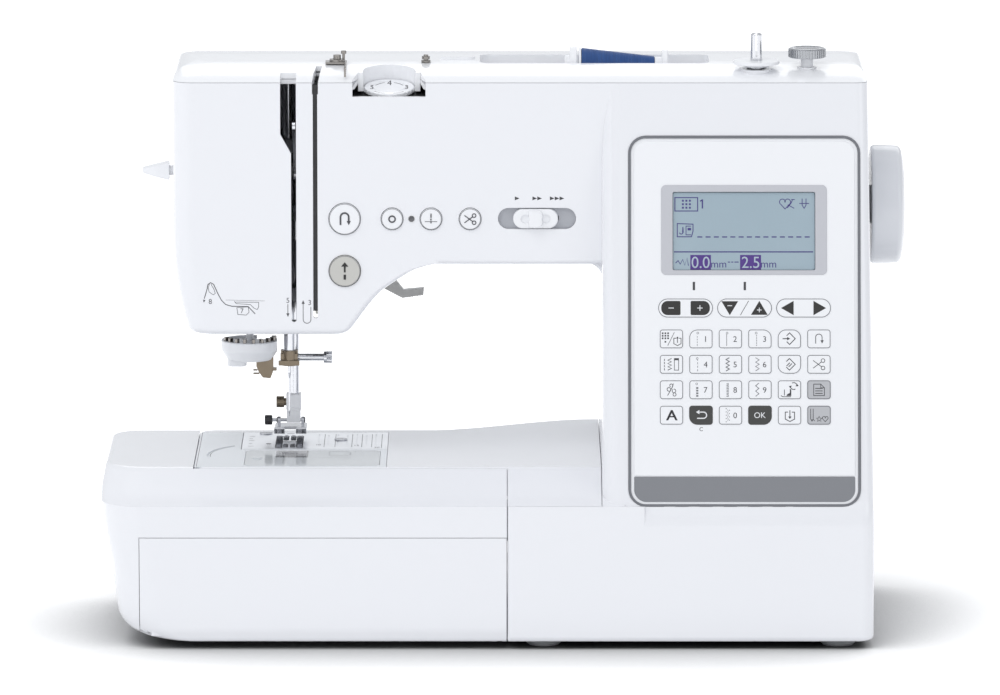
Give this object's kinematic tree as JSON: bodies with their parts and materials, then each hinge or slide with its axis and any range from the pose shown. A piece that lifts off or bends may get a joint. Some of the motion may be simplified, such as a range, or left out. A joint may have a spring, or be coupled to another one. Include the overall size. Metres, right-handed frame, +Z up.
{
  "type": "sewing machine",
  "caption": "Free-arm household sewing machine with a leaning control panel, display, hand wheel, needle and presser foot, storage table with lid, spool and bobbin winder.",
  "frame": {"origin": "on the standing surface, below the middle of the outside box", "axes": "+X to the right, towards the hand wheel; +Y to the rear, away from the user; +Z up"},
  "size_m": [0.417, 0.18, 0.3114],
  "materials": {
    "cover_plastic": "glossy moulded housing, cool white",
    "top_plastic": "glossy moulded top cover, brighter white",
    "pan_plastic": "textured moulded base pan",
    "foot_rubber": "soft rubber feet",
    "plate_plastic": "pale plate insert round the bobbin cover",
    "plate_steel": "brushed needle plate",
    "clear_cover": "clear bobbin cover",
    "screw_steel": "plated screws",
    "trim_grey": "dark trim round the control panel",
    "panel_plastic": "membrane panel with raised key pads",
    "display": "reflective liquid crystal display",
    "board": "glass-fibre circuit boards",
    "socket_black": "black sockets and switch seat",
    "rocker_black": "black rocker",
    "frame_cast": "die-cast frame",
    "bush_bronze": "sintered bronze bushes",
    "motor_steel": "painted motor can",
    "belt_rubber": "toothed drive belts",
    "guide_steel": "polished tension discs, thread guides and spool pin",
    "lamp_clear": "work lamp and indicator",
    "case_black": "black bobbin case",
    "shaft_steel": "ground steel shafts and link",
    "wheel_plastic": "hand wheel, slightly greyer white",
    "pulley_plastic": "moulded belt pulleys",
    "hook_steel": "polished rotary hook",
    "bobbin_clear": "clear bobbin",
    "feed_steel": "toothed feed dog",
    "lever_black": "drop feed lever",
    "bar_steel": "ground bars, needle and screws",
    "bronze_dark": "dark bronzed clamp and screw",
    "holder_plastic": "pale foot holder",
    "lever_grey": "warm grey presser lever",
    "small_white": "white moulded small parts",
    "start_grey": "warm grey start button",
    "winder_steel": "winder shaft and stop",
    "thread_blue": "wound blue thread on a white core",
    "handle_plastic": "folding carry handle"
  },
  "bodies": {
    "housing": {"base_pan": "pan_plastic", "rubber_feet": "foot_rubber", "front_cover": "cover_plastic", "rear_cover": "cover_plastic", "top_cover": "top_plastic", "bed_cover": "cover_plastic", "plate_cover": "plate_plastic", "needle_plate": "plate_steel", "housing_screws": "screw_steel", "panel_trim": "trim_grey", "control_panel": "panel_plastic", "lcd_screen": "display", "circuit_boards": "board", "socket_panel": "socket_black", "arm_frame": "frame_cast", "shaft_bushes": "bush_bronze", "drive_motor": "motor_steel", "timing_belts": "belt_rubber", "thread_path": "guide_steel", "lamps": "lamp_clear", "bobbin_case": "case_black"},
    "upper_drive": {"main_shaft": "shaft_steel", "handwheel": "wheel_plastic", "belt_pulleys": "pulley_plastic"},
    "connecting_link": {"needle_link": "shaft_steel"},
    "motor_rotor": {"motor_pulley": "pulley_plastic"},
    "lower_drive": {"lower_shaft": "shaft_steel"},
    "hook": {"rotary_hook": "hook_steel"},
    "bobbin_body": {"bobbin": "bobbin_clear"},
    "feed": {"feed_dog": "feed_steel"},
    "drop_lever": {"drop_feed_lever": "lever_black"},
    "needle_group": {"needle_bar": "bar_steel", "needle_clamp": "bronze_dark", "needle": "bar_steel"},
    "clamp_screw_body": {"clamp_screw": "bar_steel"},
    "take_up": {"take_up_lever": "bar_steel"},
    "presser_group": {"presser_bar": "bar_steel", "foot_holder": "holder_plastic"},
    "holder_screw_body": {"holder_screw": "bronze_dark"},
    "foot": {"presser_foot": "bar_steel"},
    "presser_lift": {"presser_lever": "lever_grey"},
    "threader": {"threader_lever": "small_white", "threader_guide": "small_white"},
    "dial": {"tension_dial": "top_plastic"},
    "slider": {"speed_slider": "small_white"},
    "reverse": {"reverse_button": "small_white"},
    "start": {"start_button": "start_grey"},
    "position": {"position_button": "small_white"},
    "needle_key": {"needle_button": "small_white"},
    "cutter": {"cutter_button": "small_white"},
    "winder": {"winder_shaft": "winder_steel"},
    "stop": {"winder_stop": "winder_steel"},
    "spool": {"thread_spool": "thread_blue"},
    "cap": {"spool_cap": "small_white"},
    "table": {"bed_table": "cover_plastic"},
    "lid": {"accessory_lid": "cover_plastic", "lid_pins": "bar_steel"},
    "handle": {"carry_handle": "handle_plastic"},
    "rocker": {"power_switch": "rocker_black"},
    "bobbin_lid": {"bobbin_cover": "clear_cover"}
  },
  "joints": [
    {"name": "handwheel_turn", "type": "hinge", "parent": "housing", "child": "upper_drive", "pos_m": [0.1, 0.018, 0.2162], "axis": [1, 0, 0], "continuous": true},
    {"name": "link_turn", "type": "hinge", "parent": "upper_drive", "child": "connecting_link", "pos_m": [-0.101, 0.018, 0.2327], "axis": [1, 0, 0], "continuous": true},
    {"name": "motor_turn", "type": "hinge", "parent": "housing", "child": "motor_rotor", "pos_m": [0.17, 0.058, 0.118], "axis": [1, 0, 0], "continuous": true},
    {"name": "lower_shaft_turn", "type": "hinge", "parent": "housing", "child": "lower_drive", "pos_m": [0.1, 0.012, 0.048], "axis": [1, 0, 0], "continuous": true},
    {"name": "hook_turn", "type": "hinge", "parent": "housing", "child": "hook", "pos_m": [-0.113, -0.002, 0.05], "axis": [0, 0, 1], "continuous": true},
    {"name": "bobbin_turn", "type": "hinge", "parent": "housing", "child": "bobbin_body", "pos_m": [-0.113, -0.002, 0.068], "axis": [0, 0, 1], "continuous": true},
    {"name": "drop_feed_slide", "type": "slide", "parent": "housing", "child": "drop_lever", "axis": [-1, 0, 0], "range_m": [0, 0.014]},
    {"name": "feed_dog_drop", "type": "slide", "parent": "housing", "child": "feed", "axis": [0, 0, -1], "range_m": [0, 0.003]},
    {"name": "needle_bar_slide", "type": "slide", "parent": "housing", "child": "needle_group", "axis": [0, 0, -1], "range_m": [0, 0.033]},
    {"name": "take_up_swing", "type": "hinge", "parent": "housing", "child": "take_up", "pos_m": [-0.1091, 0.002, 0.236], "axis": [1, 0, 0], "range_deg": [0, 76]},
    {"name": "clamp_screw_turn", "type": "hinge", "parent": "needle_group", "child": "clamp_screw_body", "pos_m": [-0.1, 0.018, 0.1351], "axis": [1, 0, 0], "continuous": true},
    {"name": "presser_bar_slide", "type": "slide", "parent": "housing", "child": "presser_group", "axis": [0, 0, -1], "range_m": [0, 0.0051]},
    {"name": "presser_lever_swing", "type": "hinge", "parent": "housing", "child": "presser_lift", "pos_m": [-0.084, 0.0515, 0.188], "axis": [0, 1, 0], "range_deg": [0, 30]},
    {"name": "holder_screw_turn", "type": "hinge", "parent": "presser_group", "child": "holder_screw_body", "pos_m": [-0.118, 0.0285, 0.1096], "axis": [1, 0, 0], "continuous": true},
    {"name": "foot_tilt", "type": "hinge", "parent": "presser_group", "child": "foot", "pos_m": [-0.111, 0.0246, 0.1006], "axis": [1, 0, 0], "range_deg": [-8, 0]},
    {"name": "threader_slide", "type": "slide", "parent": "housing", "child": "threader", "axis": [0, 0, -1], "range_m": [0, 0.03], "stiffness_N_per_m": 40, "springref_m": -0.03},
    {"name": "tension_dial_turn", "type": "hinge", "parent": "housing", "child": "dial", "pos_m": [-0.0598, -0.0245, 0.2839], "axis": [0, -0.1736, 0.9848], "range_deg": [-120, 120]},
    {"name": "speed_slider_slide", "type": "slide", "parent": "housing", "child": "slider", "axis": [1, 0, 0], "range_m": [-0.007, 0.0085]},
    {"name": "reverse_press", "type": "slide", "parent": "housing", "child": "reverse", "axis": [0, 1, 0], "range_m": [0, 0.001], "stiffness_N_per_m": 600, "springref_m": -0.001},
    {"name": "start_press", "type": "slide", "parent": "housing", "child": "start", "axis": [0, 1, 0], "range_m": [0, 0.001], "stiffness_N_per_m": 600, "springref_m": -0.001},
    {"name": "position_press", "type": "slide", "parent": "housing", "child": "position", "axis": [0, 1, 0], "range_m": [0, 0.001], "stiffness_N_per_m": 600, "springref_m": -0.001},
    {"name": "needle_press", "type": "slide", "parent": "housing", "child": "needle_key", "axis": [0, 1, 0], "range_m": [0, 0.001], "stiffness_N_per_m": 600, "springref_m": -0.001},
    {"name": "cutter_press", "type": "slide", "parent": "housing", "child": "cutter", "axis": [0, 1, 0], "range_m": [0, 0.001], "stiffness_N_per_m": 600, "springref_m": -0.001},
    {"name": "winder_turn", "type": "hinge", "parent": "housing", "child": "winder", "pos_m": [0.1299, -0.022, 0.3], "axis": [0, 0, 1], "continuous": true},
    {"name": "winder_stop_turn", "type": "hinge", "parent": "housing", "child": "stop", "pos_m": [0.1563, -0.018, 0.3], "axis": [0, 0, 1], "range_deg": [-90, 90]},
    {"name": "spool_turn", "type": "hinge", "parent": "housing", "child": "spool", "pos_m": [0.06, 0.008, 0.2899], "axis": [1, 0, 0], "continuous": true},
    {"name": "spool_cap_slide", "type": "slide", "parent": "housing", "child": "cap", "axis": [-1, 0, 0], "range_m": [0, 0.042]},
    {"name": "bed_table_slide", "type": "slide", "parent": "housing", "child": "table", "axis": [-1, 0, 0], "range_m": [0, 0.18]},
    {"name": "accessory_lid_swing", "type": "hinge", "parent": "table", "child": "lid", "pos_m": [-0.09, -0.0854, 0.009], "axis": [1, 0, 0], "range_deg": [0, 80]},
    {"name": "carry_handle_swing", "type": "hinge", "parent": "housing", "child": "handle", "pos_m": [0.026, 0.079, 0.276], "axis": [1, 0, 0], "range_deg": [0, 170]},
    {"name": "bobbin_cover_lift", "type": "slide", "parent": "housing", "child": "bobbin_lid", "axis": [0, 0, 1], "range_m": [0, 0.012]},
    {"name": "power_switch_rock", "type": "hinge", "parent": "housing", "child": "rocker", "pos_m": [0.1858, 0.048, 0.052], "axis": [0, 0, 1], "range_deg": [0, 16]}
  ],
  "couplings": [
    {"joint": "link_turn", "follows": "handwheel_turn", "ratio": -1},
    {"joint": "motor_turn", "follows": "handwheel_turn", "ratio": 3.4286},
    {"joint": "lower_shaft_turn", "follows": "handwheel_turn", "ratio": 1},
    {"joint": "hook_turn", "follows": "handwheel_turn", "ratio": 2},
    {"joint": "feed_dog_drop", "follows": "drop_feed_slide", "ratio": 0.21429},
    {"joint": "take_up_swing", "follows": "needle_bar_slide", "rad_per_m": 39.667},
    {"joint": "presser_lever_swing", "follows": "presser_bar_slide", "rad_per_m": 102.32}
  ]
}
